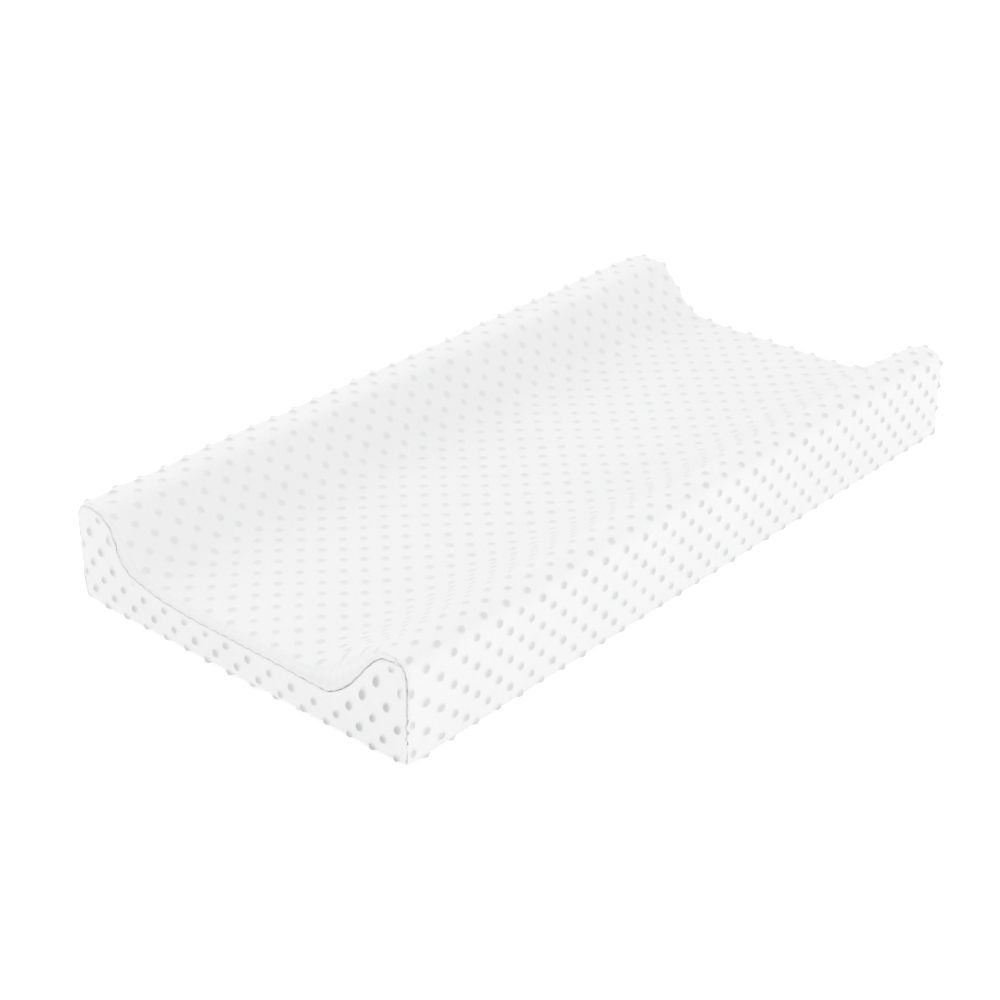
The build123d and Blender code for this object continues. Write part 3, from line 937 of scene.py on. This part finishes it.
def makeLinerTop():
    cell = 0.003
    tail = coverSection["far"] > 0.24
    stop = np.interp(-liner["lowEdge"], -coverSection["line"][tail, 1], coverSection["far"][tail])
    longEnd = plush["halfLength"] - seam["roll"] + seam["roll"] * liner["endTurn"]
    across, along = np.meshgrid(np.linspace(-stop, stop, int(2 * stop / cell)),
                                np.linspace(-longEnd, longEnd, int(2 * longEnd / cell)), indexing="ij")
    face = coverFace(across, along)
    wave = np.sin(2 * np.pi * (along / 0.057 + 0.8 * np.sin(across / 0.021)) + 0.4)
    wave = wave * np.sin(along / 0.071 + across / 0.045)
    calm = 1 - between(np.abs(along), plush["halfLength"] - 0.05, plush["halfLength"] - 0.015)
    outer = face - facing(face) * (liner["gap"] + liner["wrinkle"] * (1 + wave) * calm)[..., None]
    inner = outer - facing(outer) * liner["thickness"]
    return closedSheet("liner_top_sheet", outer, inner, 2)


def makeLinerEnd(name, base, out, foot):
    face = (base - out * liner["gap"])[::2]
    rows = 24
    outer = np.zeros((len(face), rows, 3))
    low = liner["lowEdge"] + 0.0003
    for k, column in enumerate(face):
        up = np.maximum.accumulate(column[:, 2])
        height = np.linspace(low, up[-1] - 0.0012, rows)
        outer[k] = np.stack([np.interp(height, up, column[:, 0]), np.interp(height, up, column[:, 1]), height], 1)
    outer[..., 0] *= liner["endShare"]
    sign = -1 if foot else 1
    climb = (outer[..., 2] - low) / 0.07
    crease = np.sin(outer[..., 0] / 0.010 + 2.2 * np.sin(outer[..., 2] / 0.013))
    crease = crease * np.sin(np.clip(climb, 0, 1) * math.pi)
    outer[..., 1] -= sign * liner["wrinkle"] * (0.8 + 0.6 * crease)
    inner = outer - np.array([0, sign * liner["thickness"], 0])
    if not foot:
        outer, inner = outer[::-1], inner[::-1]
    return closedSheet(name, outer, inner, 2)


linerTop = makeLinerTop()
linerFoot = makeLinerEnd("liner_foot_sheet", footBase, footOut, True)
linerHead = makeLinerEnd("liner_head_sheet", headBase, headOut, False)
finishPiece(linerTop, vinylWhite, "vinyl", "pad", "liner_top")
finishPiece(linerFoot, vinylWhite, "vinyl", "pad", "liner_foot_end")
finishPiece(linerHead, vinylWhite, "vinyl", "pad", "liner_head_end")
print("liner closed")


def copyOf(node, name):
    obj = bpy.data.objects.new(name, nodes[node].data.copy())
    bpy.context.scene.collection.objects.link(obj)
    return obj


def weldedCopy(node, name):
    obj = copyOf(node, name)
    welder = bmesh.new()
    welder.from_mesh(obj.data)
    bmesh.ops.remove_doubles(welder, verts=welder.verts, dist=0.00001)
    welder.to_mesh(obj.data)
    welder.free()
    return obj


def readPoints(mesh):
    points = np.zeros(len(mesh.vertices) * 3, np.float32)
    mesh.vertices.foreach_get("co", points)
    return points.reshape(-1, 3).astype(float)


def writePoints(mesh, points):
    mesh.vertices.foreach_set("co", np.asarray(points, np.float32).ravel())
    mesh.update()


def applied(obj):
    bpy.context.view_layer.update()
    shaped = obj.evaluated_get(bpy.context.evaluated_depsgraph_get())
    mesh = bpy.data.meshes.new_from_object(shaped)
    obj.modifiers.clear()
    obj.data = mesh


def roundEdges(obj, width, degrees):
    bevel = obj.modifiers.new("edges", "BEVEL")
    bevel.width, bevel.segments, bevel.limit_method, bevel.angle_limit = width, 2, "ANGLE", math.radians(degrees)
    applied(obj)


# A small dome that points down: its points, faces and the number of corners of each face.
def gripDome():
    sides, rings = grip["sides"], grip["rings"]
    level = np.linspace(0, 1, rings + 1)[:-1] * math.pi / 2
    angle = np.linspace(0, 2 * math.pi, sides, endpoint=False)
    ring = [np.stack([np.cos(angle) * math.cos(t), np.sin(angle) * math.cos(t),
                      np.full(sides, -math.sin(t))], 1) for t in level]
    dome = np.concatenate(ring + [np.array([[0, 0, -1.0]])]) * [grip["radius"], grip["radius"], grip["height"]]
    faces, sizes = [], []
    for k in range(sides):
        after = (k + 1) % sides
        for r in range(0, (rings - 1) * sides, sides):
            faces += [r + k, r + sides + k, r + sides + after, r + after]
            sizes.append(4)
        faces += [(rings - 1) * sides + k, rings * sides, (rings - 1) * sides + after]
        sizes.append(3)
    return dome, np.array(faces + list(range(sides))), sizes + [sides]


# One non-slip base half: softened edges, and rows of small grip dots on the part that stands.
def makeBaseHalf(node, name, side):
    obj = weldedCopy(node, name)
    points = readPoints(obj.data)
    points[points[:, 2] < 0.0002, 2] = grip["height"]
    writePoints(obj.data, points)
    roundEdges(obj, 0.0004, 40)
    base = readPoints(obj.data)
    loops = np.zeros(len(obj.data.loops), np.int32)
    obj.data.loops.foreach_get("vertex_index", loops)
    counts = np.zeros(len(obj.data.polygons), np.int32)
    obj.data.polygons.foreach_get("loop_total", counts)
    parts = [(base, loops, counts)]
    dome, faces, sizes = gripDome()
    middleX, middleY, corner = grip["corner"]
    for row in range(-45, 46):
        y = row * grip["pitch"] * math.sqrt(3) / 2
        for col in range(0, 17):
            x = grip["from"] + (col + 0.5 * (row % 2)) * grip["pitch"]
            inCorner = x > 0.124 and abs(y) > 0.327 and math.hypot(x - middleX, abs(y) - middleY) > corner
            if x <= grip["toSide"] and abs(y) <= grip["toEnd"] and not inCorner:
                parts.append((dome + [side * x, y, grip["height"] + 0.00002], faces, sizes))
    result = joined(name + "_piece", parts)
    bpy.data.objects.remove(obj)
    mask = np.zeros(len(result.data.vertices))
    mask[len(base):] = 1
    setMask(result, "grip", mask)
    result.name = name
    return result


for node, name, side in (("liner_base_left", "base_sheet_left", -1), ("liner_base_right", "base_sheet_right", 1)):
    finishPiece(makeBaseHalf(node, name, side), gripSheet, "grip_sheet", "pad", node)
print("base sheet gripped")


foam = {
    "cell": 0.005,
    "sideInset": 0.0050,  # from the cover's outer face to the foam
    "endInset": 0.0062,
    "underLiner": 0.0008,
    "zipRoom": (0.029, 0.335),  # half sizes of the part underneath that keeps clear of the zip
    "zipRoomHeight": 0.0060,
    "tapeRoom": 0.0165,
    "tapeRoomHeight": 0.0082,
}


# Foam: the block remeshed with soft edges, pressed in wherever the liner lies lower.
def makeFoam(node, name):
    obj = copyOf(node, name)
    remesh = obj.modifiers.new("voxels", "REMESH")
    remesh.mode, remesh.voxel_size = "VOXEL", foam["cell"]
    soften = obj.modifiers.new("soften", "SMOOTH")
    soften.factor, soften.iterations = 0.5, 3
    applied(obj)
    points = readPoints(obj.data)
    wide, long = plush["halfWidth"] - foam["sideInset"], plush["halfLength"] - foam["endInset"]
    points[:, :2] = np.clip(points[:, :2], (-wide, -long), (wide, long))
    overZip = (np.abs(points[:, :2]) < foam["zipRoom"]).all(1)
    overTapes = overZip & (np.abs(points[:, 0]) < foam["tapeRoom"])
    points[overZip, 2] = np.maximum(points[overZip, 2], foam["zipRoomHeight"])
    points[overTapes, 2] = np.maximum(points[overTapes, 2], foam["tapeRoomHeight"])
    for k, (x, y, z) in enumerate(points):
        if z > 0.02:
            hit = linerTree.ray_cast(Vector((x, y, 0.012)), Vector((0, 0, 1)))[0]
            if hit is not None:
                points[k, 2] = min(z, hit.z - foam["underLiner"])
    writePoints(obj.data, points)
    obj.data.polygons.foreach_set("use_smooth", np.ones(len(obj.data.polygons), bool))
    finishPiece(obj, foamCream, "foam", "pad", node)


linerTree = BVHTree.FromObject(linerTop, bpy.context.evaluated_depsgraph_get())
makeFoam("foam_centre", "centre_block")
makeFoam("foam_bolster_left", "left_bolster")
makeFoam("foam_bolster_right", "right_bolster")
print("foam blocks cut")

# Zip: woven tapes, nylon coils, metal slider, pull and stops.
zipFacts = {
    "coilPitch": 0.0019,
    "coilWire": 0.00030,  # radius of the wire, and its play inside the row's space
    "coilPlay": 0.00008,
    "tapeRipple": 0.00008,
    "tapePlay": 0.00012,
    "pullEdge": 0.00015,
    "stopEdge": 0.0001,
}


def makeTape(node, name):
    low, high = (np.array(corner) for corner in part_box(node))
    across, along = np.meshgrid(np.linspace(low[0], high[0], 15), np.linspace(low[1], high[1], 315), indexing="ij")
    ripple = zipFacts["tapeRipple"] * np.sin(along / 0.004) * np.sin((across - low[0]) / (high[0] - low[0]) * math.pi)
    under = np.stack([across, along, low[2] + zipFacts["tapePlay"] + ripple], -1)
    over = np.stack([across, along, high[2] - zipFacts["tapePlay"] + ripple], -1)
    finishPiece(closedSheet(name, over, under, 1), tapeWhite, "zip_tape", "pad", node)


def makeCoil(node, name, side):
    low, high = (np.array(corner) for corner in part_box(node))
    turns = int((high[1] - low[1]) / zipFacts["coilPitch"])
    steps = np.arange(turns * 12 + 1) / 12.0
    middle = (low + high) / 2
    wide, _, tall = (high - low) / 2 - zipFacts["coilWire"] - zipFacts["coilPlay"]
    angle = 2 * math.pi * steps
    path = np.stack([middle[0] + side * wide * np.cos(angle),
                     low[1] + 0.0004 + steps * zipFacts["coilPitch"] * 0.998,
                     middle[2] + tall * np.sin(angle)], 1)
    outward = (path - middle) * [1, 0, 1]
    coil = joined(name, [sweep(path, oval(zipFacts["coilWire"], zipFacts["coilWire"], 6), up=outward)])
    finishPiece(coil, coilWhite, "zip_coil", "pad", node)


makeTape("zip_tape_left", "tape_left")
makeTape("zip_tape_right", "tape_right")
makeCoil("zip_coil_left", "coil_left", -1)
makeCoil("zip_coil_right", "coil_right", 1)


# Metal parts keep their shape, with their edges rounded off.
def makeMetal(node, name, body, width):
    obj = weldedCopy(node, name)
    roundEdges(obj, width, 35)
    obj.data.polygons.foreach_set("use_smooth", np.zeros(len(obj.data.polygons), bool))
    finishPiece(obj, zipMetal, "zip_metal", body, node)


makeMetal("zip_slider", "slider_body", "zip_slider", zipFacts["pullEdge"])
makeMetal("zip_pull", "pull_tab", "zip_pull", zipFacts["pullEdge"])
makeMetal("zip_stops", "end_stops", "pad", zipFacts["stopEdge"])
print("zip fitted")

# Floor, light and camera.
room = {
    "floorSize": 12.0,
    "floorColour": (0.72, 0.72, 0.72),
    "floorGlow": 0.42,
    "worldStrength": 1.05,
    "lightSize": 1.8,
    "keyPower": 6.4,
    "keyPlace": (2.1, 0.4, 1.6),
    "fillPower": 8.6,
    "fillPlace": (-2.1, -0.2, 1.6),
}
cameraFacts = {
    "location": (1.205386, -1.427014, 1.020136),
    "forward": (-0.58314561, 0.66028523, -0.473249),
    "lens": 76.34,
    "sensor": 36,
    "reach": 50,
}

scene = bpy.context.scene
floorMesh = bpy.data.meshes.new("floor")
floorCorners = [(x * room["floorSize"], y * room["floorSize"], 0) for x, y in ((-1, -1), (1, -1), (1, 1), (-1, 1))]
floorMesh.from_pydata(floorCorners, [], [(0, 1, 2, 3)])
floor = bpy.data.objects.new("floor", floorMesh)
scene.collection.objects.link(floor)
floorMaterial, _, floorShader = newMaterial("pale floor", room["floorColour"], 0.9, gloss=0.0)
floorShader.inputs["Emission Color"].default_value = (1, 1, 1, 1)
floorShader.inputs["Emission Strength"].default_value = room["floorGlow"]
floor.data.materials.append(floorMaterial)

world = bpy.data.worlds.new("studio")
world.use_nodes = True
sky = world.node_tree.nodes["Background"]
sky.inputs["Color"].default_value = (1, 1, 1, 1)
sky.inputs["Strength"].default_value = room["worldStrength"]
scene.world = world


def addLight(name, place, power):
    light = bpy.data.lights.new(name, "AREA")
    light.shape = "DISK"
    light.size = room["lightSize"]
    light.energy = power
    obj = bpy.data.objects.new(name, light)
    obj.location = place
    obj.rotation_euler = (-Vector(place)).to_track_quat("-Z", "Y").to_euler()
    scene.collection.objects.link(obj)


addLight("key light", room["keyPlace"], room["keyPower"])
addLight("fill light", room["fillPlace"], room["fillPower"])

camera = bpy.data.objects.new("camera", bpy.data.cameras.new("camera"))
camera.location = cameraFacts["location"]
camera.rotation_euler = Vector(cameraFacts["forward"]).to_track_quat("-Z", "Y").to_euler()
camera.data.lens = cameraFacts["lens"]
camera.data.sensor_width = cameraFacts["sensor"]
camera.data.clip_end = cameraFacts["reach"]
scene.collection.objects.link(camera)
scene.camera = camera
scene.view_settings.view_transform = "Standard"
scene.view_settings.look = "None"
print("stage set")
